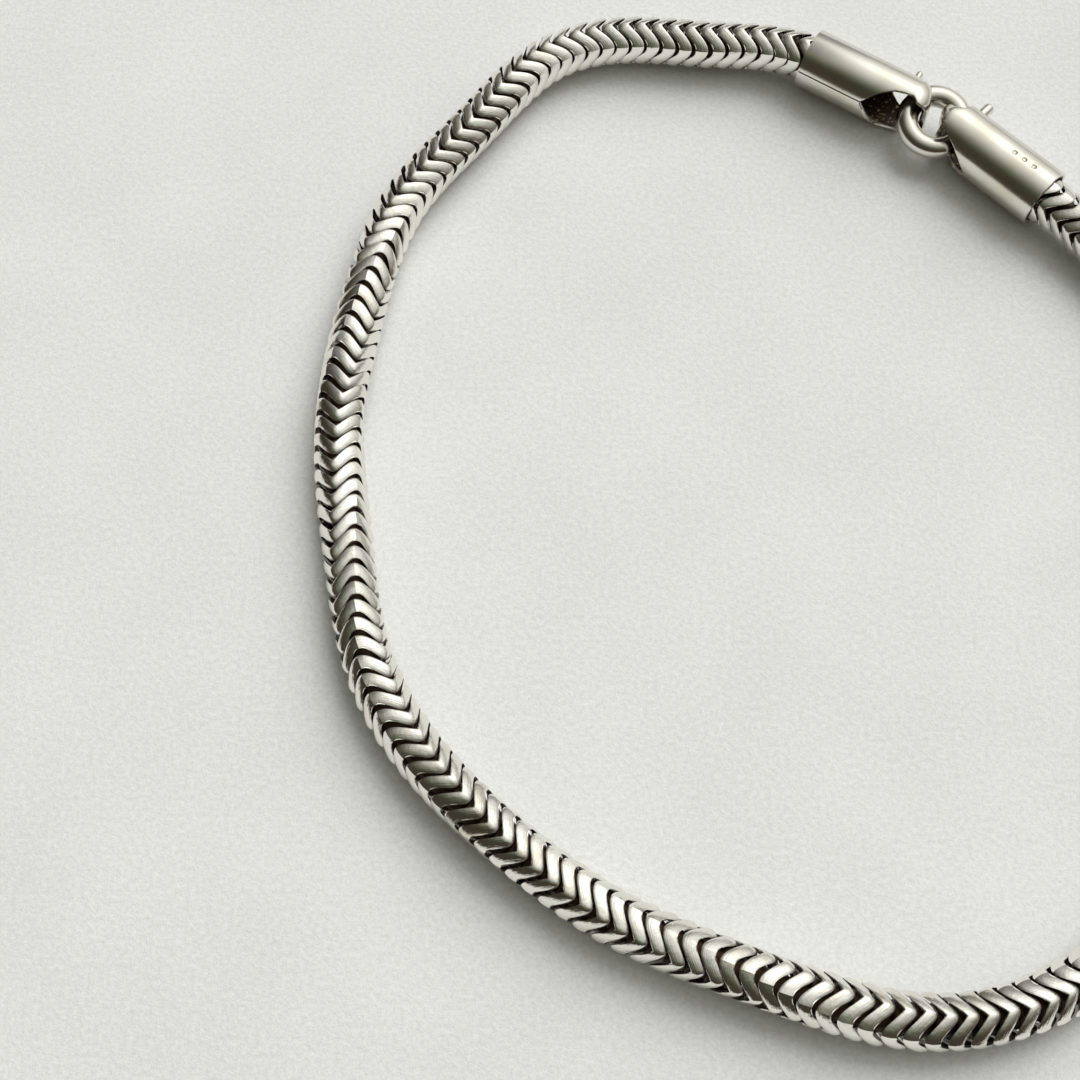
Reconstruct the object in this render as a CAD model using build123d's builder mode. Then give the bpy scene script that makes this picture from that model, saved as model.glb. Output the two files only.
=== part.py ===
from build123d import *
import os
from math import cos, radians, sin, sqrt

# A silver snake-chain bracelet lying closed on a table. A round chain of wave-edged links runs in one
# loop from the mouth of one end tube to the mouth of the other. The two end tubes are hooked into one
# closed wire ring by tongues cut from their own walls.
# The frame is in millimetres: +Z is up from the table, the origin is on the table in the middle of the
# bracelet's outline, and the clasp lies in the quarter of +X and +Y.

# Chain
chain_diameter = 3.0
link_pitch = 1.07
band_wall = 0.45
wave_count = 3
# How far the edges of a link stand from its middle, along the chain, at the crest and at the foot of
# each wave: "back" faces the left end tube and "front" the way that the chain runs.
crest_back = 0.3
crest_front = 0.8
foot_back = -0.72
foot_front = 0.03
crest_rounding = 0.4
# The cone inside each link, whose nose reaches into the next link.
cone_wall = 0.2
cone_nose_radius = 0.5
cone_back = 0.0
cone_front = 1.3
cone_grip = 0.1

# End tubes
cap_diameter = 3.8
cap_wall = 0.3
left_cap_length = 7.4
right_cap_length = 7.3
plug_start = 0.55
plug_length = 0.75
end_link_inset = 0.1
left_link_skew = 7
seam_width = 0.08
seam_cut_depth = 0.9
seam_angle = 17
stud_diameter = 0.5
stud_reach = 0.8
stud_rise = 0.45
stud_setback = 0.65
dimple_count = 3
dimple_spacing = 0.75
dimple_radius = 0.3
dimple_depth = 0.06
dimple_from_mouth = 1.5

# Ring and the tongues that hold it
ring_wire = 1.4
ring_diameter = 4.9
ring_tilt = 12
ring_lift = 0.1
hook_fit = 0.12
hook_inner_radius = 0.75
hook_root_share = 0.82
tip_share = 0.3
strap_width = 0.8
strap_tip_height = 0.8
curl_width = 0.9
curl_top_height = 2.75
lip_width = 1.6
lip_reach = 0.9
lip_drop_angle = 38

# Where the clasp lies: the middle of each tube's mouth, the way from the mouth to the nose in degrees
# from +X, and the middle of the ring.
left_mouth = (2.79, 29.32)
left_heading = -32.2
right_mouth = (16.82, 18.52)
right_heading = 135.2
ring_middle = (10.42, 24.25)

# The chain's middle line from the left mouth round to the right mouth, chosen by hand.
route_points = [
    (1.76, 29.76),
    (-0.24, 30.30),
    (-3.74, 30.63),
    (-7.33, 30.97),
    (-10.91, 30.79),
    (-14.22, 29.43),
    (-16.81, 26.95),
    (-19.04, 24.12),
    (-21.33, 21.34),
    (-23.34, 18.36),
    (-24.65, 15.01),
    (-25.50, 11.52),
    (-26.19, 7.98),
    (-26.61, 4.41),
    (-26.55, 0.81),
    (-26.11, -2.76),
    (-25.58, -6.32),
    (-24.90, -9.85),
    (-23.69, -13.24),
    (-21.83, -16.31),
    (-19.47, -19.03),
    (-16.81, -21.46),
    (-13.99, -23.69),
    (-10.97, -25.64),
    (-7.73, -27.20),
    (-4.37, -28.50),
    (-0.97, -29.68),
    (2.49, -30.68),
    (6.06, -31.02),
    (9.61, -30.46),
    (12.93, -29.09),
    (15.97, -27.17),
    (18.69, -24.81),
    (21.80, -21.00),
    (24.90, -14.90),
    (26.45, -7.40),
    (26.35, 0.27),
    (24.53, 7.27),
    (21.43, 13.20),
]
# How far the points next to the clasp are lifted, in order from each mouth, as shares of the step from
# the chain's axis up to the tubes' axes.
slope_from_left = [0.75, 0.42, 0.11, 0.04]
slope_from_right = [0.20, 0.02]

# How the waves turn round the chain: the share of the route and the angle of a crest from straight up,
# in degrees, positive towards the outside of the loop.
wave_turn = [
    (0.000, 0),
    (0.025, 6),
    (0.055, 4),
    (0.086, 4),
    (0.116, 9),
    (0.132, 0),
    (0.147, -10),
    (0.162, -9),
    (0.178, -4),
    (0.193, 5),
    (0.208, 17),
    (0.224, 38),
    (0.239, 62),
    (0.254, 75),
    (0.270, 91),
    (0.285, 112),
    (0.331, 146),
    (0.368, 177),
    (0.393, 204),
    (0.423, 220),
    (0.454, 245),
    (0.503, 268),
    (0.540, 290),
    (0.577, 332),
    (0.622, 357),
    (0.650, 370),
    (1.000, 550),
]

# The notches in the noses as seen from the side, as shares of the tube's length from its mouth and of
# its outer radius from its axis. The near side is the one that faces the inside of the loop.
left_notch_near = [
    (0.595, 0.29),
    (0.676, 0.60),
    (0.736, 0.79),
    (0.824, 0.92),
    (0.920, 0.965),
    (1.300, 0.965),
    (1.300, -1.10),
    (1.000, -1.10),
    (0.973, -0.92),
    (0.840, -0.82),
    (0.730, -0.63),
    (0.642, 0.08),
]
left_notch_far = [
    (0.703, -0.37),
    (0.932, 0.10),
    (0.980, 0.53),
    (1.000, 0.84),
    (1.000, 0.965),
    (1.300, 0.965),
    (1.300, -1.10),
    (1.000, -1.10),
    (0.973, -0.92),
    (0.840, -0.80),
    (0.760, -0.63),
]
right_notch_near = [
    (0.678, -0.12),
    (0.773, 0.27),
    (0.870, 0.52),
    (0.960, 0.68),
    (1.000, 0.90),
    (1.300, 0.90),
    (1.300, -0.965),
    (0.920, -0.965),
    (0.860, -0.86),
    (0.790, -0.74),
    (0.726, -0.47),
]
right_notch_far = [
    (0.767, -0.37),
    (0.945, 0.05),
    (0.993, 0.37),
    (1.000, 0.90),
    (1.300, 0.90),
    (1.300, -0.965),
    (0.920, -0.965),
    (0.860, -0.86),
    (0.800, -0.68),
]

# Worked out from the sizes above
chain_radius = chain_diameter / 2
band_inner = chain_radius - band_wall
half_wave = 180 / wave_count
half_wave_width = chain_radius * sin(radians(half_wave))
cap_radius = cap_diameter / 2
cap_bore = cap_radius - cap_wall
ring_radius = (ring_diameter - ring_wire) / 2
ring_hole = ring_diameter / 2 - ring_wire
ring_height = cap_radius + ring_lift


def heading_vector(degrees):
    return Vector(cos(radians(degrees)), sin(radians(degrees)), 0)


def cap_plane(mouth, heading):
    """The frame of an end tube: its origin is in its mouth, +X runs to its nose and +Z is up."""
    return Plane(origin=(*mouth, cap_radius), x_dir=heading_vector(heading), z_dir=(0, 0, 1))


left_plane = cap_plane(left_mouth, left_heading)
right_plane = cap_plane(right_mouth, right_heading)
ring_centre = Vector(*ring_middle, ring_height)
ring_from_left = left_plane.to_local_coords(ring_centre)
ring_from_right = right_plane.to_local_coords(ring_centre)


# The chain's route, with its ends one end link deep in the mouths
route_start = Vector(*left_mouth, cap_radius) + heading_vector(left_heading) * end_link_inset
route_end = Vector(*right_mouth, cap_radius) + heading_vector(right_heading) * end_link_inset
level_count = len(route_points) - len(slope_from_left) - len(slope_from_right)
slope_shares = slope_from_left + [0] * level_count + slope_from_right[::-1]
settled_points = [
    Vector(x, y, chain_radius + (cap_radius - chain_radius) * slope_share)
    for (x, y), slope_share in zip(route_points, slope_shares)
]
with BuildLine() as route:
    Spline(
        route_start,
        *settled_points,
        route_end,
        tangents=(-heading_vector(left_heading + left_link_skew), heading_vector(right_heading)),
        tangent_scalars=(1, 1),
    )
route_edge = route.edges()[0]
link_steps = round(route_edge.length / link_pitch)


def turn_at(share):
    """The angle of the wave's crest at a share of the route, read from the table."""
    for (low, low_turn), (high, high_turn) in zip(wave_turn, wave_turn[1:]):
        if share <= high:
            return low_turn + (high_turn - low_turn) * (share - low) / (high - low)
    return wave_turn[-1][1]


def link_plane(step):
    """The place of a link: +Z runs along the chain and +X points to a crest."""
    share = step / link_steps
    along = route_edge.tangent_at(share)
    outward = along.cross(Vector(0, 0, 1)).normalized()
    up = outward.cross(along)
    turn = radians(turn_at(share))
    crest = up * cos(turn) + outward * sin(turn)
    return Plane(origin=route_edge.position_at(share), x_dir=crest, z_dir=along)


# One wave of a link: a chevron, extruded outward and cut to its share of the round band
with BuildPart() as wave:
    with BuildSketch(Plane.YZ) as chevron:
        with BuildLine():
            Polyline(
                (0, crest_back),
                (half_wave_width, foot_back),
                (half_wave_width, foot_front),
                (0, crest_front),
                (-half_wave_width, foot_front),
                (-half_wave_width, foot_back),
                close=True,
            )
        make_face()
        fillet(chevron.vertices().sort_by(Axis.Y)[-1], crest_rounding)
    extrude(amount=chain_radius)
    with BuildSketch(Plane.XY.offset(-link_pitch)):
        Circle(chain_radius)
        Circle(band_inner, mode=Mode.SUBTRACT)
        sector_reach = chain_diameter * 2
        sector_corner_x = sector_reach * cos(radians(half_wave))
        sector_corner_y = sector_reach * sin(radians(half_wave))
        with BuildLine():
            Polyline((0, 0), (sector_corner_x, -sector_corner_y), (sector_corner_x, sector_corner_y), close=True)
        make_face(mode=Mode.INTERSECT)
    extrude(amount=link_pitch * 2, mode=Mode.INTERSECT)

# One link: its waves round the chain, and the cone whose nose reaches into the next link
cone_length = cone_front - cone_back
cone_base_radius = band_inner + cone_grip
with BuildPart() as link:
    with PolarLocations(0, wave_count):
        add(wave.part)
    with Locations((0, 0, cone_back)):
        Cone(cone_base_radius, cone_nose_radius, cone_length, align=(Align.CENTER, Align.CENTER, Align.MIN))
        Cone(
            cone_base_radius - cone_wall,
            cone_nose_radius - cone_wall,
            cone_length,
            align=(Align.CENTER, Align.CENTER, Align.MIN),
            mode=Mode.SUBTRACT,
        )

# The chain between the two soldered end links. The links don't touch, so they are kept as one group.
chain_links = [link.part.moved(link_plane(step).location) for step in range(1, link_steps)]
snake_chain = Compound(children=chain_links)
snake_chain.label = "snake_chain"


def notch_cutter(outline, length, side):
    """What a notch takes from one side of a tube. side is 1 for +Y and -1 for -Y."""
    with BuildPart() as cutter:
        with BuildSketch(Plane.XZ):
            with BuildLine():
                Polyline(*[(u * length, z * cap_radius) for u, z in outline], close=True)
            make_face()
        extrude(amount=-side * cap_diameter)
    return cutter.part


def hook(face_x, middle_y, width, end_height, bend, root):
    """A flat tongue that leaves the top or bottom wall and turns through the ring.

    bend is -1 for a tongue that bends down from the top wall and 1 for one that bends up from the bottom.
    face_x is where its inner face stands, and end_height is how high above the table it ends.
    """
    wall_out = -bend * (cap_radius - (cap_radius - sqrt(cap_radius**2 - (width / 2) ** 2)) / 2)
    wall_in = wall_out + bend * cap_wall
    bend_x = face_x - hook_inner_radius
    turn_z = wall_in + bend * hook_inner_radius
    end_z = end_height - cap_radius
    outer_x = face_x + cap_wall
    diagonal = cos(radians(45))
    outer_bend = hook_inner_radius + cap_wall
    with BuildPart() as tongue:
        with BuildSketch(Plane.XZ.offset(-middle_y)):
            with BuildLine():
                Line((root, wall_out), (bend_x, wall_out))
                ThreePointArc(
                    (bend_x, wall_out),
                    (bend_x + outer_bend * diagonal, turn_z - bend * outer_bend * diagonal),
                    (outer_x, turn_z),
                )
                Line((outer_x, turn_z), (outer_x, end_z))
                Line((outer_x, end_z), (face_x, end_z))
                Line((face_x, end_z), (face_x, turn_z))
                ThreePointArc(
                    (face_x, turn_z),
                    (bend_x + hook_inner_radius * diagonal, turn_z - bend * hook_inner_radius * diagonal),
                    (bend_x, wall_in),
                )
                Line((bend_x, wall_in), (root, wall_in))
                Line((root, wall_in), (root, wall_out))
            make_face()
        extrude(amount=width / 2, both=True)
        end_edges = tongue.edges().filter_by(Axis.X).sort_by(Axis.Z, reverse=bend > 0)[:2]
        chamfer(end_edges, width * tip_share)
    return tongue.part


def hook_face(ring_place, width):
    """Where a tongue's inner face stands so that it clears the ring's wire."""
    return ring_place.X - sqrt(ring_hole**2 - (width / 2) ** 2) + hook_fit


left_near_cut = notch_cutter(left_notch_near, left_cap_length, -1)
left_far_cut = notch_cutter(left_notch_far, left_cap_length, 1)
left_strap = hook(
    hook_face(ring_from_left, strap_width),
    ring_from_left.Y,
    strap_width,
    strap_tip_height,
    -1,
    left_cap_length * hook_root_share,
)
left_end_link = link.part.moved(left_plane.location.inverse() * link_plane(0).location)

with BuildPart() as left_cap:
    with BuildSketch(Plane.YZ):
        Circle(cap_radius)
        Circle(cap_bore, mode=Mode.SUBTRACT)
    extrude(amount=left_cap_length)
    add(left_near_cut, mode=Mode.SUBTRACT)
    add(left_far_cut, mode=Mode.SUBTRACT)
    # the open seam, on the near side just above the middle
    with BuildSketch(Plane.YZ):
        with Locations(
            Location((-cap_radius * cos(radians(seam_angle)), cap_radius * sin(radians(seam_angle))), -seam_angle)
        ):
            Rectangle(seam_cut_depth, seam_width)
    extrude(amount=left_cap_length, mode=Mode.SUBTRACT)
    add(left_strap)
    # the solder that fills the tube behind the end link
    with BuildSketch(Plane.YZ.offset(plug_start)):
        Circle(cap_bore + cap_wall / 2)
    extrude(amount=plug_length)
    add(left_end_link)
    # the stud on the far side
    with BuildSketch(Plane.XZ.offset(-cap_bore)):
        with Locations((left_cap_length - stud_setback, stud_rise)):
            Circle(stud_diameter / 2)
    extrude(amount=-(stud_reach + cap_wall))

with BuildPart() as end_cap_left:
    with Locations(left_plane):
        add(left_cap.part)
end_cap_left.part.label = "end_cap_left"

right_near_cut = notch_cutter(right_notch_near, right_cap_length, 1)
right_far_cut = notch_cutter(right_notch_far, right_cap_length, -1)
right_curl = hook(
    hook_face(ring_from_right, curl_width),
    ring_from_right.Y,
    curl_width,
    curl_top_height,
    1,
    right_cap_length * hook_root_share,
)
right_end_link = link.part.moved(right_plane.location.inverse() * link_plane(link_steps).location)
with BuildPart() as dimples:
    for number in range(dimple_count):
        with Locations((dimple_from_mouth + number * dimple_spacing, 0, cap_radius + dimple_radius - dimple_depth)):
            Sphere(dimple_radius)

with BuildPart() as right_cap:
    with BuildSketch(Plane.YZ):
        Circle(cap_radius)
        Circle(cap_bore, mode=Mode.SUBTRACT)
    extrude(amount=right_cap_length)
    add(right_near_cut, mode=Mode.SUBTRACT)
    add(right_far_cut, mode=Mode.SUBTRACT)
    # the wide upper lip, which bends down over the ring
    lip_start = right_cap_length - lip_reach / 2
    with BuildSketch(Plane.YZ.offset(lip_start)):
        Circle(cap_radius)
        Circle(cap_bore, mode=Mode.SUBTRACT)
        with Locations((0, cap_radius)):
            Rectangle(lip_width, cap_diameter, mode=Mode.INTERSECT)
    revolve(axis=Axis((lip_start, 0, 0), (0, 1, 0)), revolution_arc=lip_drop_angle)
    add(right_curl)
    with BuildSketch(Plane.YZ.offset(plug_start)):
        Circle(cap_bore + cap_wall / 2)
    extrude(amount=plug_length)
    add(right_end_link)
    with BuildSketch(Plane.XZ.offset(cap_bore)):
        with Locations((right_cap_length - stud_setback, stud_rise)):
            Circle(stud_diameter / 2)
    extrude(amount=stud_reach + cap_wall)
    add(dimples.part, mode=Mode.SUBTRACT)

with BuildPart() as end_cap_right:
    with Locations(right_plane):
        add(right_cap.part)
end_cap_right.part.label = "end_cap_right"

# The ring, with its far side raised
ring_plane = Plane(origin=ring_centre, x_dir=(1, 0, 0), z_dir=(0, -sin(radians(ring_tilt)), cos(radians(ring_tilt))))
with BuildPart() as link_ring:
    with Locations(ring_plane):
        Torus(ring_radius, ring_wire / 2)
link_ring.part.label = "link_ring"

os.makedirs("parts", exist_ok=True)
export_step(snake_chain, "parts/snake_chain.step")
export_step(end_cap_left.part, "parts/end_cap_left.step")
export_step(end_cap_right.part, "parts/end_cap_right.step")
export_step(link_ring.part, "parts/link_ring.step")

print("route length", round(route_edge.length, 2), "links", link_steps - 1)
print("pitch", round(route_edge.length / link_steps, 4))
print("ring from left", ring_from_left, "from right", ring_from_right)
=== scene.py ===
# %% [markdown]
# # A silver snake-chain bracelet
# The bracelet lies closed on a sheet of pale paper. A round chain of wave-edged links runs in one loop
# between two rolled end tubes, and tongues cut from the tubes hold one wire ring between them. The packed
# model is the fixed frame: it says where each piece is, and the pieces made here stand in its place.

# %% Load the fixed frame
from math import cos, degrees, pi, radians, sin

import bmesh
import bpy
import numpy as np
from mathutils import Matrix, Vector


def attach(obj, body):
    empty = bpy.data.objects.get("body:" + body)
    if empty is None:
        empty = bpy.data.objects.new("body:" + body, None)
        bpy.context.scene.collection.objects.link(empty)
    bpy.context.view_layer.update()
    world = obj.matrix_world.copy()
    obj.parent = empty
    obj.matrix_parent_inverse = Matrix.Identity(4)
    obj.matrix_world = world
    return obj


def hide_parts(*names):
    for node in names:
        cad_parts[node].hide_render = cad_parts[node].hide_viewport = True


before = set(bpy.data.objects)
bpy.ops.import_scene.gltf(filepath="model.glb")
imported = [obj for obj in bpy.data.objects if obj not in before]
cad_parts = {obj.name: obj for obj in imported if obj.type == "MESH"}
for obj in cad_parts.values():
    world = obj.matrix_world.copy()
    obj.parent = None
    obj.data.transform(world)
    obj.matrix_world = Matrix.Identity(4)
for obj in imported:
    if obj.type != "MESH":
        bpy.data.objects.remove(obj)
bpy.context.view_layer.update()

# %% [markdown]
# ## The bench
# A jeweller's parts are smaller than the distance within which many of Blender's tools take two points
# for one. So each piece is made on a bench where one unit is a millimetre, and goes to its place in
# metres as the last step. Tools act on what is selected, so one helper opens a piece with nothing
# selected in it, and another picks points, edges or faces by a test of where they are.

# %% Bench helpers
millimetre = 0.001


def put_down():
    """Leaves edit mode, with nothing selected."""
    if bpy.context.object and bpy.context.object.mode != "OBJECT":
        bpy.ops.object.mode_set(mode="OBJECT")
    bpy.ops.object.select_all(action="DESELECT")


def take_up(*pieces):
    """Selects these pieces alone, the first of them active."""
    put_down()
    for piece in pieces:
        piece.select_set(True)
    bpy.context.view_layer.objects.active = pieces[0]
    return pieces[0]


def open_up(piece):
    """Opens a piece for shaping, with nothing selected in it."""
    take_up(piece)
    bpy.ops.object.mode_set(mode="EDIT")
    bpy.ops.mesh.select_all(action="DESELECT")


def middle(part):
    """Where a point, an edge or a face is."""
    if isinstance(part, bmesh.types.BMVert):
        return part.co
    return sum((point.co for point in part.verts), Vector()) / len(part.verts)


def pick(kind, test):
    """Selects the points, edges or faces whose place passes the test, and counts them."""
    bpy.ops.mesh.select_mode(type=kind)
    bpy.ops.mesh.select_all(action="DESELECT")
    opened = bpy.context.edit_object.data
    shape = bmesh.from_edit_mesh(opened)
    parts = {"VERT": shape.verts, "EDGE": shape.edges, "FACE": shape.faces}[kind]
    found = [part for part in parts if test(part)]
    for part in found:
        part.select_set(True)
    bmesh.update_edit_mesh(opened)
    return len(found)


def new_piece(name):
    """Names the primitive just added and brings its place into its mesh."""
    piece = bpy.context.object
    piece.name = piece.data.name = name
    take_up(piece)
    bpy.ops.object.transform_apply(location=True, rotation=True, scale=True)
    return piece


def finish_with(piece, kind, **settings):
    """Adds a modifier and applies it."""
    take_up(piece)
    modifier = piece.modifiers.new(kind.title(), kind)
    for setting, value in settings.items():
        setattr(modifier, setting, value)
    bpy.ops.object.modifier_apply(modifier=modifier.name)


def to_the_bracelet(piece, place):
    """Takes a piece from the bench to its place in the bracelet, in metres."""
    piece.matrix_world = Matrix.Scale(millimetre, 4) @ place
    take_up(piece)
    bpy.ops.object.transform_apply(location=True, rotation=True, scale=True)


# %% [markdown]
# ## One link
# A link of a snake chain is a short band whose two edges run in three waves, with a cone inside it whose
# nose reaches into the next link, so that the chain bends but never comes apart. The band isn't quite round:
# each plate is flatter between a crest and a foot, has a hard crease along each foot, stands proud at its
# back edge and slopes down to its front edge, where the next link begins. It could be sculpted, but a band is a
# ring, so an open cylinder is the natural start: each column of points slides along the chain to its place
# in the wave, and each row is drawn in to its depth. A wall is then given to the sheet, and the outer rims
# are rounded, which catches the thin bright lines that make the chain look like metal.

# %% Sizes of a link
chain_radius = 1.54
flatness = 0.3
link_pitch = 1.07
band_wall = 0.34
waves = 3
columns = 48
crest_back, crest_front = 0.3, 1.04
foot_back, foot_front = -0.72, 0.13
front_tuck_at_crest, front_tuck_at_foot = 0.24, 0.03
back_tuck_at_crest, back_tuck_at_foot = 0.0, 0.08
dome = 0.035
rim_rounding = 0.05
half_wave = 180 / waves
column_step = 360 / columns


def back_edge(turn):
    """How far along the chain the back edge stands: a sharp notch at a crest, a round lobe at a foot."""
    share = sin(radians(90 * (turn / half_wave) ** 1.15))
    return crest_back + (foot_back - crest_back) * share


def front_edge(turn):
    """The front edge is soft at the crest and at the foot, and close to the next back edge between."""
    share = 0.5 - 0.5 * cos(radians(180 * turn / half_wave))
    return crest_front + (foot_front - crest_front) * share


def near_crest(turn):
    """1 at a crest, 0 at a foot, and half between them."""
    return 0.5 + 0.5 * cos(radians(180 * turn / half_wave))


def front_tuck(turn):
    """How far the front edge dips towards the axis, most of all where it goes under the next notch."""
    return front_tuck_at_foot + (front_tuck_at_crest - front_tuck_at_foot) * near_crest(turn)


def back_tuck(turn):
    """The back edge stands proud at a notch, and its round lobe dips under the link before it."""
    return back_tuck_at_foot + (back_tuck_at_crest - back_tuck_at_foot) * near_crest(turn)


def flattened(turn):
    """How far out the band stands: less between a crest and a foot, where it is flatter than a circle."""
    flat = cos(radians(half_wave / 2)) / cos(radians(turn - half_wave / 2))
    return 1 - flatness * (1 - flat)


# Each row of points across the band: its share of the way from back to front, and of each edge's tuck.
rows = {
    "back": (0.0, 1.0, 0.0),
    "back shoulder": (0.18, 0.35, 0.0),
    "ridge": (0.45, 0.0, 0.06),
    "front shoulder": (0.74, 0.0, 0.38),
    "front": (1.0, 0.0, 1.0),
}


def turn_from_crest(point):
    """The angle of a point round the chain from the nearest crest."""
    around = degrees(np.arctan2(point.y, point.x)) % (2 * half_wave)
    return min(around, 2 * half_wave - around)


# %% Shape the wavy band
spacing, waiting = 5, 40
put_down()
bpy.ops.mesh.primitive_cylinder_add(
    vertices=columns,
    radius=chain_radius,
    depth=spacing * (len(rows) - 1),
    end_fill_type="NOTHING",
    location=(0, 0, waiting),
)
link = new_piece("link")
open_up(link)
row_starts = [waiting + spacing * (number - (len(rows) - 1) / 2) for number in range(len(rows))]
for start in row_starts[1:-1]:
    pick("FACE", lambda face: True)
    bpy.ops.mesh.bisect(plane_co=(0, 0, start), plane_no=(0, 0, 1))
for start, (share, of_back, of_front) in zip(row_starts, rows.values()):
    for column in range(int(half_wave / column_step) + 1):
        turn = column * column_step
        pick("VERT", lambda point: abs(point.co.z - start) < 1 and abs(turn_from_crest(point.co) - turn) < 1)
        z = back_edge(turn) + (front_edge(turn) - back_edge(turn)) * share
        bpy.ops.transform.translate(value=(0, 0, z - start))
        tuck = of_back * back_tuck(turn) + of_front * front_tuck(turn) + dome * (2 * share - 1) ** 2
        dip = flattened(turn) - tuck / chain_radius
        bpy.ops.transform.resize(value=(dip, dip, 1), center_override=(0, 0, 0))
put_down()
finish_with(link, "SOLIDIFY", thickness=band_wall, offset=-1)
open_up(link)


def inside_the_band(edge):
    """True for the edges that run round the inside of the wall."""
    turns = [degrees(np.arctan2(point.co.y, point.co.x)) for point in edge.verts]
    across = abs((turns[0] - turns[1] + 180) % 360 - 180) > 1
    return across and all(len(point.link_edges) == 4 for point in edge.verts) and is_inner(edge)


def is_inner(edge):
    """True where the faces look towards the axis."""
    return all(face.normal.xy.dot(middle(face).xy) < -0.2 for face in edge.link_faces)


pick("EDGE", inside_the_band)
bpy.ops.mesh.dissolve_edges()


def on_outer_rim(edge):
    """True for an edge where the outside of the band meets its edge wall."""
    outside = any(face.normal.xy.dot(middle(face).xy) > 0.5 for face in edge.link_faces)
    return outside and len(edge.link_faces) == 2 and edge.calc_face_angle() > radians(45)


print("rim edges", pick("EDGE", on_outer_rim))
bpy.ops.mesh.bevel(offset=rim_rounding, segments=2, profile=0.5)


def on_foot_line(edge):
    """True for the outer edges that run along the chain through the middle of a foot."""
    points = [point.co for point in edge.verts]
    along = abs(points[0].z - points[1].z) > (points[0].xy - points[1].xy).length
    outside = all(point.xy.length > 0.9 * chain_radius for point in points)
    at_foot = all(turn_from_crest(point) > half_wave - 1 for point in points)
    return at_foot and along and outside


print("foot edges", pick("EDGE", on_foot_line))
bpy.ops.mesh.mark_sharp()
print("band faces", len(bmesh.from_edit_mesh(link.data).faces))

# %% Add the cone inside the link
cone_base, cone_nose, cone_length, cone_wall = 1.1, 0.5, 1.05, 0.2
put_down()
bpy.ops.mesh.primitive_cone_add(
    vertices=20,
    radius1=cone_base,
    radius2=cone_nose,
    depth=cone_length,
    end_fill_type="NOTHING",
    location=(0, 0, cone_length / 2),
)
cone = new_piece("cone")
finish_with(cone, "SOLIDIFY", thickness=cone_wall, offset=-1)
take_up(link, cone)
bpy.ops.object.join()
bpy.ops.object.shade_smooth_by_angle(angle=radians(50))
finish_with(link, "WEIGHTED_NORMAL", keep_sharp=True, weight=90)

# How deep each point lies below the band's outside. The finish paints the deep parts dark brown: partly
# tarnish, partly painted shade for the gaps between links.
deepest = 0.45
recess = link.data.attributes.new("recess", "FLOAT", "POINT")
strip = link.data.attributes.new("strip", "FLOAT_VECTOR", "POINT")
for point in link.data.vertices:
    turn = turn_from_crest(point.co)
    depth = chain_radius * flattened(turn) - point.co.xy.length
    recess.data[point.index].value = min(1, max(0, depth / deepest))
    across = point.co.z - back_edge(turn)
    strip.data[point.index].vector = (across, chain_radius * radians(turn), 0)
print("one link has", len(link.data.polygons), "faces")

# %% [markdown]
# ## The chain's route
# The chain lies in one loop from the mouth of the left tube round to the mouth of the right one. Its middle
# line is a smooth curve through a short list of places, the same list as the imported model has, and the links
# stand on it at equal steps. The waves turn slowly round the chain as it goes, because the real chain is
# twisted a little where it was put down.

# %% Places on the route
cap_radius = 1.9
left_mouth, left_heading = (2.79, 29.32), -32.2
right_mouth, right_heading = (16.82, 18.52), 135.2
end_link_inset = 0.1
left_link_skew = 7
route_places = [
    (1.76, 29.76), (-0.24, 30.30), (-3.74, 30.63), (-7.33, 30.97), (-10.91, 30.79),
    (-14.22, 29.43), (-16.81, 26.95), (-19.04, 24.12), (-21.33, 21.34), (-23.34, 18.36),
    (-24.65, 15.01), (-25.50, 11.52), (-26.19, 7.98), (-26.61, 4.41), (-26.55, 0.81),
    (-26.11, -2.76), (-25.58, -6.32), (-24.90, -9.85), (-23.69, -13.24), (-21.83, -16.31),
    (-19.47, -19.03), (-16.81, -21.46), (-13.99, -23.69), (-10.97, -25.64), (-7.73, -27.20),
    (-4.37, -28.50), (-0.97, -29.68), (2.49, -30.68), (6.06, -31.02), (9.61, -30.46),
    (12.93, -29.09), (15.97, -27.17), (18.69, -24.81), (21.80, -21.00), (24.90, -14.90),
    (26.45, -7.40), (26.35, 0.27), (24.53, 7.27), (21.43, 13.20),
]
slope_from_left = [0.75, 0.42, 0.11, 0.04]
slope_from_right = [0.20, 0.02]
wave_turn = [
    (0.000, 0), (0.025, 6), (0.055, 4), (0.086, 4), (0.116, 9), (0.132, 0), (0.147, -10),
    (0.162, -9), (0.178, -4), (0.193, 5), (0.208, 17), (0.224, 38), (0.239, 62), (0.254, 75),
    (0.270, 91), (0.285, 112), (0.331, 146), (0.368, 177), (0.393, 204), (0.423, 220), (0.454, 245),
    (0.503, 268), (0.540, 290), (0.577, 332), (0.622, 357), (0.650, 370), (1.000, 550),
]


def heading(angle):
    return np.array((cos(radians(angle)), sin(radians(angle)), 0))


level = [0] * (len(route_places) - len(slope_from_left) - len(slope_from_right))
lifts = slope_from_left + level + slope_from_right[::-1]
places = [np.array((*left_mouth, cap_radius)) + heading(left_heading) * end_link_inset]
for (x, y), lift in zip(route_places, lifts):
    places.append(np.array((x, y, chain_radius + (cap_radius - chain_radius) * lift)))
places.append(np.array((*right_mouth, cap_radius)) + heading(right_heading) * end_link_inset)
places = np.array(places)

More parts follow.
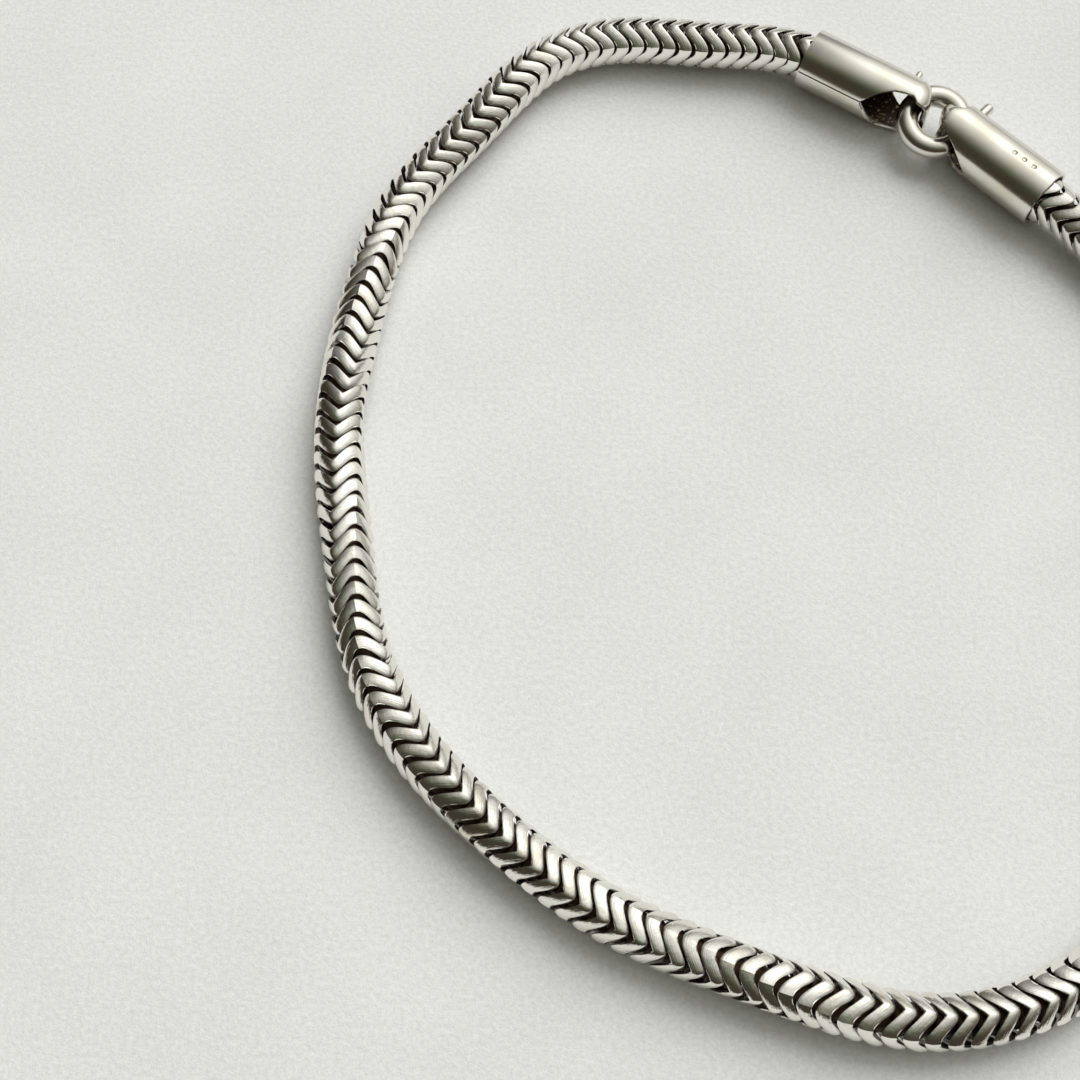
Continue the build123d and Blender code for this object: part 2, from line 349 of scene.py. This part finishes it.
# %% Draw the smooth line and divide it into equal steps
spans = np.linalg.norm(np.diff(places, axis=0), axis=1)
slopes = np.zeros_like(places)
slopes[0], slopes[-1] = -heading(left_heading + left_link_skew), heading(right_heading)
count = len(places)
rule, asked = np.eye(count), slopes.copy()
for at in range(1, count - 1):
    before, after = spans[at - 1], spans[at]
    rule[at, at - 1 : at + 2] = 1 / before, 2 / before + 2 / after, 1 / after
    rise_before = (places[at] - places[at - 1]) / before**2
    rise_after = (places[at + 1] - places[at]) / after**2
    asked[at] = 3 * (rise_before + rise_after)
slopes = np.linalg.solve(rule, asked)

points_a_span = 400
share = np.linspace(0, 1, points_a_span, endpoint=False)[:, None]
line = []
for at, span in enumerate(spans):
    line.append(
        places[at] * (2 * share**3 - 3 * share**2 + 1)
        + slopes[at] * span * (share**3 - 2 * share**2 + share)
        + places[at + 1] * (3 * share**2 - 2 * share**3)
        + slopes[at + 1] * span * (share**3 - share**2)
    )
line = np.vstack(line + [places[-1:]])
run = np.concatenate(([0], np.cumsum(np.linalg.norm(np.diff(line, axis=0), axis=1))))
steps = round(run[-1] / link_pitch)
print("route length", round(run[-1], 2), "mm, links", steps - 1)


def on_line(distance):
    return Vector([np.interp(distance, run, line[:, axis]) for axis in range(3)])


def link_place(step, turn_more=0.0, slide=0.0, lean=0.0):
    """The place of a link: its Z runs along the chain and its X points to a crest."""
    distance = step / steps * run[-1] + slide
    reach = 0.02
    along = (on_line(distance + reach) - on_line(distance - reach)).normalized()
    outward = along.cross(Vector((0, 0, 1))).normalized()
    up = outward.cross(along)
    shares, turns = zip(*wave_turn)
    turn = radians(np.interp(step / steps, shares, turns) + turn_more)
    crest = up * cos(turn) + outward * sin(turn)
    side = along.cross(crest)
    turned = Matrix((crest, side, along)).transposed().to_4x4()
    return Matrix.Translation(on_line(distance)) @ turned @ Matrix.Rotation(radians(lean), 4, "X")


# %% [markdown]
# ## The chain
# All the links are alike, so the one link is copied to each step, every copy with a mesh of its own. A real
# chain is never perfectly even, so a seeded draw turns, slides and leans each link by a hair, less than the
# gap between two links. Each copy also keeps one number that the finish later reads, so that some links
# are a shade more tarnished than others.

# %% Copy the link along the route
draw = np.random.default_rng(11)
loose_turn, loose_slide, loose_lean = 1.0, 0.015, 0.5
link.data.attributes.new("tone", "FLOAT", "POINT")
chain_links = []
for step in range(1, steps):
    turn_more, slide, lean = draw.normal(0, 1, 3) * (loose_turn, loose_slide, loose_lean)
    copy = link.copy()
    copy.data = link.data.copy()
    bpy.context.collection.objects.link(copy)
    tone = copy.data.attributes["tone"]
    tone.data.foreach_set("value", np.full(len(copy.data.vertices), draw.random(), dtype=np.float32))
    copy.matrix_world = Matrix.Scale(millimetre, 4) @ link_place(step, turn_more, slide, lean)
    chain_links.append(copy)
take_up(*chain_links)
bpy.ops.object.join()
bpy.ops.object.transform_apply(location=True, rotation=True, scale=True)
silver_chain = bpy.context.object
silver_chain.name = silver_chain.data.name = "silver_snake_chain"
print("chain faces", len(silver_chain.data.polygons), "in", steps - 1, "links")

# %% [markdown]
# ## The ring
# The two tubes hang in one closed ring of thick wire, which leans a little where it rests on them. A torus
# is what a bent and soldered wire is, so it starts as one. One place is pinched by a hair, where the wire's
# ends were soldered.

# %% Bend the ring
ring_middle = (10.42, 24.25, 2.0)
ring_wire, ring_diameter, ring_tilt = 1.4, 4.9, 12
pinch_width, pinch = 0.7, 0.97
put_down()
bpy.ops.mesh.primitive_torus_add(
    major_segments=96,
    minor_segments=32,
    major_radius=(ring_diameter - ring_wire) / 2,
    minor_radius=ring_wire / 2,
)
ring = new_piece("silver_link_ring")
open_up(ring)
pick("VERT", lambda point: point.co.x > 0 and abs(point.co.y) < pinch_width / 2)
bpy.ops.transform.resize(value=(1, 1, pinch))
take_up(ring)
bpy.ops.object.shade_smooth()
to_the_bracelet(ring, Matrix.Translation(ring_middle) @ Matrix.Rotation(radians(ring_tilt), 4, "X"))
print("ring faces", len(ring.data.polygons))

# %% [markdown]
# ## Rolled tubes with cut noses
# Each end tube is a strip of silver sheet that was cut to shape, rolled round a rod and soldered to the last
# link. Its nose is cut away at both sides, which leaves an upper and a lower tongue. So the tube starts as an
# open sheet, rolled up: short rows are scored across its nose, each cut of the notch is scored through them
# from the side, and what lies between the cuts comes off. The wall is added only afterwards, as
# with real sheet, so that the cut edges stand square to it.

# %% Cut a nose
sheet_wall = 0.3
sheet_columns = 96
upper_tongue_from = 1.2


def roll_sheet(name, length):
    """An open tube along X, from its mouth to its nose."""
    put_down()
    bpy.ops.mesh.primitive_cylinder_add(
        vertices=sheet_columns,
        radius=cap_radius,
        depth=length,
        end_fill_type="NOTHING",
        location=(length / 2, 0, 0),
        rotation=(0, pi / 2, 0),
    )
    tube = new_piece(name)
    open_up(tube)
    return tube


def smooth_table(table, count):
    """Draws a table of (x, z) places out to more rows, along a smooth curve."""
    table = np.array(table)
    run = np.concatenate(([0], np.cumsum(np.linalg.norm(np.diff(table, axis=0), axis=1))))
    at = np.interp(np.linspace(0, 1, count), np.linspace(0, 1, len(run)), run)
    rows = np.array([np.interp(at, run, table[:, axis]) for axis in (0, 1)]).T
    for _ in range(3):
        rows[1:-1] = (rows[:-2] + 2 * rows[1:-1] + rows[2:]) / 4
    return rows


def cut_notch(side, upper, lower, length, cuts=16):
    """Cuts one side of a nose away between two edges, each given as (x, z) from the notch's corner."""
    upper, lower = smooth_table(upper, 40), smooth_table(lower, 40)
    start = upper[0][0]
    rows = start + (length - start) * np.linspace(0, 1, cuts) ** 1.3
    for row in rows[1:-1]:
        pick("FACE", lambda face: True)
        bpy.ops.mesh.bisect(plane_co=(row, 0, 0), plane_no=(1, 0, 0), threshold=0.001)
    for low, high in zip(rows, rows[1:]):
        for edge in (upper, lower):
            z_low, z_high = np.interp((low, high), edge[:, 0], edge[:, 1])
            pick("FACE", lambda face: low < middle(face).x < high and middle(face).y * side > 0)
            bpy.ops.mesh.bisect(
                plane_co=(low, 0, z_low), plane_no=(z_low - z_high, 0, high - low), threshold=0.001
            )

    def in_notch(face):
        place = middle(face)
        if place.y * side < 0 or place.x < start:
            return False
        low = np.interp(place.x, lower[:, 0], lower[:, 1])
        return low < place.z < np.interp(place.x, upper[:, 0], upper[:, 1])

    found = pick("FACE", in_notch)
    bpy.ops.mesh.delete(type="FACE")
    return found


def bend_on(end_x, upper, stations):
    """Draws the end edges of a tongue on, from station to station, as (x, y, z, lean, width)."""

    def at_the_end(edge):
        on_row = all(abs(point.co.x - end_x) < 0.002 for point in edge.verts)
        return on_row and len(edge.link_faces) == 1 and (middle(edge).z > upper_tongue_from) == upper

    print("end edges", pick("EDGE", at_the_end))
    for before, after in zip(stations, stations[1:]):
        bpy.ops.mesh.extrude_edges_move()
        step = Vector(after[:3]) - Vector(before[:3])
        bpy.ops.transform.translate(value=step)
        bpy.ops.transform.rotate(
            value=-radians(after[3] - before[3]), orient_axis="Y", center_override=after[:3]
        )
        bpy.ops.transform.resize(value=(1, after[4] / before[4], 1), center_override=after[:3])


# %% [markdown]
# ## The left tube
# This tube shows its open seam, which runs from its mouth to the corner of the notch. Its upper tongue is a
# narrow strap that bends down through the ring and ends in a point. Its lower tongue is broad and lies
# under the ring. A small stud stands on the far side near the nose.

# %% Roll and cut the left tube
left_length = 7.4
seam_angle = 17
seam_gap = 0.08
left_tube = roll_sheet("silver_left_tube", left_length)
left_near, left_far = -1, 1
left_near_upper = [(4.40, 0.56), (5.00, 1.14), (5.45, 1.50), (6.10, 1.75), (6.81, 1.83), (7.40, 1.84)]
left_near_lower = [
    (4.40, 0.56), (4.75, 0.15), (5.10, -0.60), (5.45, -1.20), (6.20, -1.56), (7.20, -1.75), (7.41, -2.1),
]
left_far_upper = [(5.20, -0.70), (6.00, -0.25), (6.90, 0.20), (7.25, 1.00), (7.38, 1.60), (7.40, 1.84)]
left_far_lower = [(5.20, -0.70), (5.62, -1.20), (6.20, -1.52), (7.20, -1.75), (7.41, -2.1)]
print("near faces off", cut_notch(left_near, left_near_upper, left_near_lower, left_length))
print("far faces off", cut_notch(left_far, left_far_upper, left_far_lower, left_length))

# %% Open the seam


def on_seam(edge):
    place = middle(edge)
    angle = degrees(np.arctan2(place.z, -place.y))
    along = abs(edge.verts[0].co.x - edge.verts[1].co.x) > 0.01
    return along and abs(angle - seam_angle) < 180 / sheet_columns


pick("EDGE", on_seam)
bpy.ops.mesh.bevel(offset=seam_gap / 2, segments=1)
bpy.ops.mesh.delete(type="FACE")

# %% Bend the strap through the ring
strap_middle = -0.22
bend_start, bend_radius, bend_top = 7.557, 1.05, 1.88
top = (7.40, 0.0, 1.9, 0, 1.0)
strap = [top, (bend_start, -0.05, bend_top, 0, 1.1)]
for lean, width in ((15, 1.15), (30, 1.15), (45, 1.1), (60, 0.95), (75, 0.78), (90, 0.62)):
    strap.append((
        bend_start + bend_radius * sin(radians(lean)),
        strap_middle,
        bend_top - bend_radius * (1 - cos(radians(lean))),
        lean,
        width,
    ))
end_x = bend_start + bend_radius
for z, width in ((0.4, 0.54), (0.0, 0.46), (-0.5, 0.3), (-1.08, 0.06)):
    strap.append((end_x, strap_middle, z, 90, width))
bend_on(left_length, True, strap)
put_down()
print("left tube", len(left_tube.data.polygons), "faces")

# %% [markdown]
# ## The right tube
# This tube has no open seam to be seen. Its upper tongue is a broad lip that bends down over the ring, and
# its lower tongue is narrow and curls up through the ring. Where a maker's punch would strike the top of the
# tube, it has three plain dimples.

# %% Roll and cut the right tube
right_length = 7.3
right_tube = roll_sheet("silver_right_tube", right_length)
right_near, right_far = 1, -1
right_near_upper = [(4.90, -0.30), (5.25, 0.10), (5.64, 0.51), (6.35, 0.99), (7.00, 1.22), (7.30, 1.31)]
right_near_lower = [(4.90, -0.30), (5.30, -0.89), (5.77, -1.41), (6.28, -1.63), (6.72, -1.83), (7.30, -1.84)]
right_far_upper = [(5.45, -0.90), (5.60, -0.70), (6.60, 0.40), (7.15, 1.40), (7.30, 1.84)]
right_far_lower = [(5.45, -0.90), (5.84, -1.29), (6.28, -1.63), (6.72, -1.83), (7.30, -1.84)]
print("near faces off", cut_notch(right_near, right_near_upper, right_near_lower, right_length))
print("far faces off", cut_notch(right_far, right_far_upper, right_far_lower, right_length))

# %% Bend the lip over the ring
lip = [
    (right_length, 0.46, 1.70, 0, 1.85),
    (7.72, 0.62, 1.70, 0, 1.6),
    (7.84, 0.62, 1.65, 30, 1.5),
    (8.30, 0.26, 1.16, 50, 1.42),
]
bend_on(right_length, True, lip)

# %% Curl the lower tongue up through the ring
curl_start, curl_bottom, curl_radius = 7.0, -1.87, 1.05
curl_middle, curl_width, curl_top = 0.44, 1.1, 0.45
pick("FACE", lambda face: middle(face).z < -1.6 and middle(face).x > 6)
bpy.ops.mesh.bisect(plane_co=(curl_start, 0, 0), plane_no=(1, 0, 0), threshold=0.001)
pick("FACE", lambda face: middle(face).z < -1.6 and middle(face).x > curl_start)
bpy.ops.mesh.delete(type="FACE")
curl = [(curl_start, 0, -cap_radius, 0, 1.0)]
for lean in range(15, 91, 15):
    curl.append((
        curl_start + curl_radius * sin(radians(lean)),
        curl_middle * min(1, lean / 45),
        curl_bottom + curl_radius * (1 - cos(radians(lean))),
        -lean,
        curl_width,
    ))
end_x = curl_start + curl_radius
curl += [(end_x, curl_middle, z, -90, width) for z, width in ((-0.3, 1.05), (0.1, 0.9), (curl_top, 0.5))]
bend_on(curl_start, False, curl)
put_down()
print("right tube", len(right_tube.data.polygons), "faces")

# %% [markdown]
# ## Walls, solder and studs
# The rolled sheets now get their wall, and every cut edge is rounded a little, as filing and wear leave it.
# The inside keeps a mark of its own, for the finish to darken it with tarnish and painted shade. A disc of
# solder closes each tube behind the last link, which stands in the mouth, and a small stud sits near each
# nose on the far side.

# %% Give the tubes their wall
edge_rounding = 0.05


def wall_up(tube):
    """Turns a rolled sheet into metal with a wall and rounded edges, and marks its inside."""
    tube.vertex_groups.new(name="inside")
    finish_with(
        tube,
        "SOLIDIFY",
        thickness=sheet_wall,
        offset=-1,
        use_quality_normals=True,
        shell_vertex_group="inside",
    )
    finish_with(tube, "BEVEL", width=edge_rounding, segments=2, limit_method="ANGLE", angle_limit=radians(50))
    # The inside, marked 1, is painted dark by the finish: tarnish and painted shade.
    recess = tube.data.attributes.new("recess", "FLOAT", "POINT")
    for point in tube.data.vertices:
        recess.data[point.index].value = sum(group.weight for group in point.groups)
    take_up(tube)
    bpy.ops.object.shade_smooth_by_angle(angle=radians(30))
    print(tube.name, len(tube.data.polygons), "faces with its wall")


wall_up(left_tube)
wall_up(right_tube)

# %% Punch the dimples
dimple_radius, dimple_depth, dimple_spacing, first_dimple = 0.3, 0.06, 0.75, 1.5
for number in range(3):
    put_down()
    height = cap_radius + dimple_radius - dimple_depth
    bpy.ops.mesh.primitive_uv_sphere_add(
        segments=32,
        ring_count=24,
        radius=dimple_radius,
        location=(first_dimple + number * dimple_spacing, 0, height),
    )
    punch = new_piece("punch")
    finish_with(right_tube, "BOOLEAN", object=punch, operation="DIFFERENCE", solver="EXACT")
    bpy.data.objects.remove(punch)

# %% Add the solder, the studs and the end links
plug_start, plug_length, plug_overlap = 0.55, 0.75, 0.02
# The plug sits in the tube and takes most of the inside's dark colour: tarnish and painted shade.
plug_recess = 0.7
stud_rise, stud_setback = 0.45, 0.65
cup_rim, cup_depth, cup_taper = 0.05, 0.12, 0.6


def add_round(name, radius, length, location, rotation, rounding):
    """A short bar with rounded rims."""
    put_down()
    bpy.ops.mesh.primitive_cylinder_add(
        vertices=32, radius=radius, depth=length, location=location, rotation=rotation
    )
    bar = new_piece(name)
    finish_with(bar, "BEVEL", width=rounding, segments=3, limit_method="ANGLE", angle_limit=radians(60))
    take_up(bar)
    bpy.ops.object.shade_smooth_by_angle(angle=radians(40))
    bar.data.attributes.new("recess", "FLOAT", "POINT")
    return bar


def fit_out(tube, length, far, stud_radius, stud_reach, cupped):
    """Adds the solder plug and the stud to a tube."""
    inside = cap_radius - sheet_wall
    plug_middle = (plug_start + plug_length / 2, 0, 0)
    plug = add_round("plug", inside + plug_overlap, plug_length, plug_middle, (0, pi / 2, 0), 0.05)
    for value in plug.data.attributes["recess"].data:
        value.value = plug_recess
    stud_middle = (length - stud_setback, far * (inside + stud_reach / 2), stud_rise)
    stud = add_round("stud", stud_radius, stud_reach, stud_middle, (pi / 2, 0, 0), 0.12)
    if cupped:
        open_up(stud)
        pick("FACE", lambda face: len(face.verts) > 20 and middle(face).y * far > cap_radius)
        bpy.ops.mesh.inset(thickness=cup_rim)
        bpy.ops.mesh.extrude_region_move(TRANSFORM_OT_translate={"value": (0, -far * cup_depth, 0)})
        bpy.ops.transform.resize(value=(cup_taper, 1, cup_taper))
    take_up(tube, plug, stud)
    bpy.ops.object.join()


fit_out(left_tube, left_length, left_far, stud_radius=0.24, stud_reach=0.8, cupped=False)
fit_out(right_tube, right_length, right_far, stud_radius=0.36, stud_reach=1.05, cupped=True)


def cap_place(mouth, angle):
    along = Vector(heading(angle))
    up = Vector((0, 0, 1))
    turned = Matrix((along, up.cross(along), up)).transposed().to_4x4()
    return Matrix.Translation((*mouth, cap_radius)) @ turned


to_the_bracelet(left_tube, cap_place(left_mouth, left_heading))
to_the_bracelet(right_tube, cap_place(right_mouth, right_heading))

# %% [markdown]
# ## Writing finishes as sums
# A finish is a small network of nodes. Wiring nodes by hand hides the idea, so one class wraps a socket
# and lets it be added, multiplied and compared like a number, and one method makes any other node.

# %% A socket that can be reckoned with


class Wire:
    """A value on its way through a finish."""

    def __init__(self, tree, socket):
        self.tree, self.socket = tree, socket

    def into(self, socket):
        self.tree.links.new(self.socket, socket)

    def math(self, operation, *values, **settings):
        return Bench(self.tree).node("Math", dict(operation=operation, **settings), *values).wire()

    def __add__(self, other):
        return self.math("ADD", self, other)

    def __sub__(self, other):
        return self.math("SUBTRACT", self, other)

    def __rsub__(self, other):
        return self.math("SUBTRACT", other, self)

    def __mul__(self, other):
        return self.math("MULTIPLY", self, other)

    def __truediv__(self, other):
        return self.math("DIVIDE", self, other)

    def __pow__(self, other):
        return self.math("POWER", self, other)

    __radd__ = __add__
    __rmul__ = __mul__

    def rise(self, low, high):
        """0 below low, 1 above high, and smooth between them."""
        settings = {"interpolation_type": "SMOOTHSTEP"}
        return Bench(self.tree).node("MapRange", settings, self, low, high, 0.0, 1.0).wire()

    def blend(self, first, second):
        """A colour that runs from the first to the second as this value runs from 0 to 1."""
        node = Bench(self.tree).node("Mix", {"data_type": "RGBA"})
        node.plug(Factor=self, A=first, B=second)
        return node.wire(2)


class Bench:
    """Makes nodes in one network, settings first and then sockets."""

    def __init__(self, tree):
        self.tree = tree

    def node(self, kind, settings=None, *values, **sockets):
        self.made = self.tree.nodes.new("ShaderNode" + kind)
        for setting, value in (settings or {}).items():
            setattr(self.made, setting, value)
        for socket, value in zip(self.made.inputs, values):
            self.set(socket, value)
        return Bench.holding(self.tree, self.made).plug(**sockets)

    @classmethod
    def holding(cls, tree, made):
        bench = cls(tree)
        bench.made = made
        return bench

    def set(self, socket, value):
        if isinstance(value, Wire):
            value.into(socket)
        elif isinstance(value, tuple) and len(value) == 3 and socket.type == "RGBA":
            socket.default_value = (*value, 1)
        else:
            socket.default_value = value

    def plug(self, **sockets):
        for name, value in sockets.items():
            name = name.replace("_", " ")
            open_sockets = [socket for socket in self.made.inputs if socket.name == name and socket.enabled]
            self.set(open_sockets[0], value)
        return self

    def wire(self, output=0):
        return Wire(self.tree, self.made.outputs[output])


def seen(red, green, blue):
    """A colour written as the eye sees it, from 0 to 255, brought to amounts of light."""
    return tuple((value / 255) ** 2.2 for value in (red, green, blue))


# %% [markdown]
# ## The silver
# Worn silver isn't one colour. Its outer faces are rubbed bright by wear, a little warm, and what lies deep
# between the links is painted brown and black: partly tarnish, partly painted shade for the dark of the gaps.
# The band's depth is stored on the mesh, so the tarnish and the painted shade follow it. Fine dents in the
# faces break up the reflections, as years of wear do.

# %% The finish of the chain


def new_finish(name):
    finish = bpy.data.materials.new(name)
    finish.use_nodes = True
    tree = finish.node_tree
    surface = Bench.holding(tree, tree.nodes["Principled BSDF"])
    surface.plug(Metallic=1.0)
    return finish, Bench(tree), surface


def speckle(bench, where, size, detail=2.0, rough=0.5):
    """Noise whose lumps are about so many millimetres wide."""
    scale = 1 / (size * millimetre)
    return bench.node("TexNoise", None, Vector=where, Scale=scale, Detail=detail, Roughness=rough).wire()


chain_finish, bench, surface = new_finish("worn_silver_of_the_links")
where = bench.node("TexCoord").wire(3)
depth = bench.node("Attribute", {"attribute_name": "recess"}).wire(2)
tone = bench.node("Attribute", {"attribute_name": "tone"}).wire(2)
strip_place = bench.node("Attribute", {"attribute_name": "strip"}).wire(1)
drawn = bench.node("VectorMath", {"operation": "MULTIPLY"}, strip_place, (14.0, 0.7, 0.0)).wire()
offset = bench.node("CombineXYZ", None, tone * 90, tone * 50, tone * 70).wire()
moved = bench.node("VectorMath", None, drawn, offset).wire()
lines = bench.node("TexNoise", None, Vector=moved, Scale=1.0, Detail=2.0).wire()
broad = speckle(bench, where, 2.2)
fine_dents = speckle(bench, where, 0.3, detail=3.0)
# Deep in the band the colour turns dark brown: tarnish, with painted shade for the gaps between links.
deep = depth.rise(0.24, 0.6)
stain = (broad * 0.7 + tone * 0.12 + fine_dents * 0.3 + lines * 0.2).rise(0.65, 1.1)
relief = fine_dents + broad * 2 + lines * 0.8
face = stain.blend(seen(243, 241, 234), seen(210, 194, 168))
surface.plug(
    # Dark brown in the hollows: tarnish and painted shade.
    Base_Color=deep.blend(face, seen(86, 66, 52)),
    Metallic=1 - deep * 0.4,
    Roughness=0.1 + stain * 0.15 + deep * 0.25,
    Normal=bench.node("Bump", None, Strength=0.5, Distance=0.00003, Height=relief).wire(),
)

# %% [markdown]
# ## The tubes' silver
# The tubes are plain rolled sheet and the ring is plain wire, both smoother than the links, and handling has
# given them a soft, faintly brushed shine. Inside the tubes the metal is painted brown and nearly black,
# partly as tarnish where no cloth reaches and partly as painted shade, with small bright specks that are
# painted glints. The inside could have a finish of its own, but it is marked on the mesh, so that one finish
# serves both and runs from one to the other over a cut edge.

# %% The finish of the tubes and the ring
tube_finish, bench, surface = new_finish("brushed_silver_of_the_tubes")
where = bench.node("TexCoord").wire(3)
broad = speckle(bench, where, 2.5)
grain = speckle(bench, where, 0.12, detail=3.0)
# The inside mark: there the colour is painted dark, as tarnish and painted shade.
deep = bench.node("Attribute", {"attribute_name": "recess"}).wire(2).rise(0.3, 1.0)
surface.plug(
    Base_Color=deep.blend(
        broad.rise(0.4, 0.8).blend(seen(230, 227, 219), seen(221, 215, 199)),
        # The inside colour: dark brown, tarnish with painted shade, and light specks that are painted glints.
        speckle(bench, where, 0.22, detail=3.0).rise(0.56, 0.66).blend(seen(66, 52, 42), seen(214, 190, 150)),
    ),
    Metallic=1 - deep * 0.6,
    Roughness=0.14 + broad * 0.08 + deep * 0.3,
    Normal=bench.node("Bump", None, Strength=0.3, Distance=0.00002, Height=broad * 3 + grain * 0.3).wire(),
)

# %% [markdown]
# ## Dressing the pieces
# The last link at each end of the real chain is soldered into its tube, so one more copy of the link joins
# each tube and keeps the finish of the chain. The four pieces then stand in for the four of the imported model.

# %% Dress the pieces
for tube, step in ((left_tube, 0), (right_tube, steps)):
    tube.data.materials.clear()
    tube.data.materials.append(tube_finish)
    end_link = link.copy()
    end_link.data = link.data.copy()
    bpy.context.collection.objects.link(end_link)
    end_link.data.materials.append(chain_finish)
    to_the_bracelet(end_link, link_place(step))
    take_up(tube, end_link)
    bpy.ops.object.join()
for piece in (silver_chain, ring):
    piece.data.materials.clear()
silver_chain.data.materials.append(chain_finish)
ring.data.materials.append(tube_finish)
bpy.data.objects.remove(link)
for piece, node, slot in (
    (silver_chain, "snake_chain", "chain_silver"),
    (left_tube, "end_cap_left", "cap_silver"),
    (right_tube, "end_cap_right", "cap_silver"),
    (ring, "link_ring", "ring_silver"),
):
    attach(piece, "root")
    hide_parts(node)

# %% [markdown]
# ## Paper, light and camera
# Polished metal shows what stands round it more than it shows itself. A bright window stands to the right
# and behind, and its light falls off evenly all round it. Two dark patches, one low on the far wall and one
# on the wall at the left, give the metal its dark streaks, and the pale paper lies all round below. The room
# is a plain reckoning on the direction, so it stays put when the camera moves.

# %% Lay the paper
put_down()
bpy.ops.mesh.primitive_plane_add(size=3)
paper = bpy.context.object
paper.name = "paper"
paper_finish, bench, surface = new_finish("pale_paper")
where = bench.node("TexCoord").wire(3)
fibres = speckle(bench, where, 0.3, detail=4.0, rough=0.8)
clouds = speckle(bench, where, 9.0)
surface.plug(
    Metallic=0.0,
    Roughness=0.9,
    Base_Color=(fibres * 0.8 + clouds * 0.2).rise(0.3, 0.7).blend(seen(219, 220, 218), seen(240, 240, 239)),
    Normal=bench.node("Bump", None, Strength=0.6, Distance=0.00006, Height=fibres).wire(),
)
paper.data.materials.append(paper_finish)

# %% Light the room
world = bpy.data.worlds.new("room")
bpy.context.scene.world = world
world.use_nodes = True
bench = Bench(world.node_tree)
look = bench.node("TexCoord").wire(0)
x, y, z = (bench.node("SeparateXYZ", None, look).wire(axis) for axis in range(3))


def towards(direction):
    """How squarely a direction looks this way: 1 straight at it, 0 across."""
    a, b, c = Vector(direction).normalized()
    return x * a + y * b + z * c


window = towards((0.38, 0.46, 0.80))
far_wall = towards((0.0, 1.0, 0.15)).rise(0.9, 0.98)
left_wall = towards((-0.58, 0.56, 0.58)).rise(0.76, 0.98)
spread = (window + 0.1) / 1.1
glow = spread.math("MAXIMUM", spread, 0.0)
core = window.rise(0.9, 1.0)
sky = 0.045 + glow**2.5 + core * 0.3
light = sky * (1 - far_wall * 0.4) * (1 - left_wall * 0.55) * 1.18
low_wall = z.rise(0.75, 0.35)
shade = low_wall.blend(seen(238, 248, 205), seen(255, 232, 205))
background = Bench.holding(world.node_tree, world.node_tree.nodes["Background"])
background.plug(Strength=light, Color=glow.rise(0.15, 0.75).blend(shade, seen(255, 255, 249)))

put_down()
bpy.ops.object.light_add(type="SUN", rotation=(radians(-38), radians(28), 0))
key = bpy.context.object
key.data.energy = 2.05
key.data.angle = radians(50)
key.visible_glossy = False

# %% Set up the camera
sensor_width, focal_length = 36, 53.333
bpy.ops.object.camera_add(location=(-0.0147736, -0.0385346, 0.087), rotation=(radians(21.8), 0, 0))
camera = bpy.context.object
camera.data.sensor_width = sensor_width
camera.data.lens = focal_length
camera.data.clip_start = 0.001
bpy.context.scene.camera = camera
bpy.context.scene.view_settings.view_transform = "Standard"
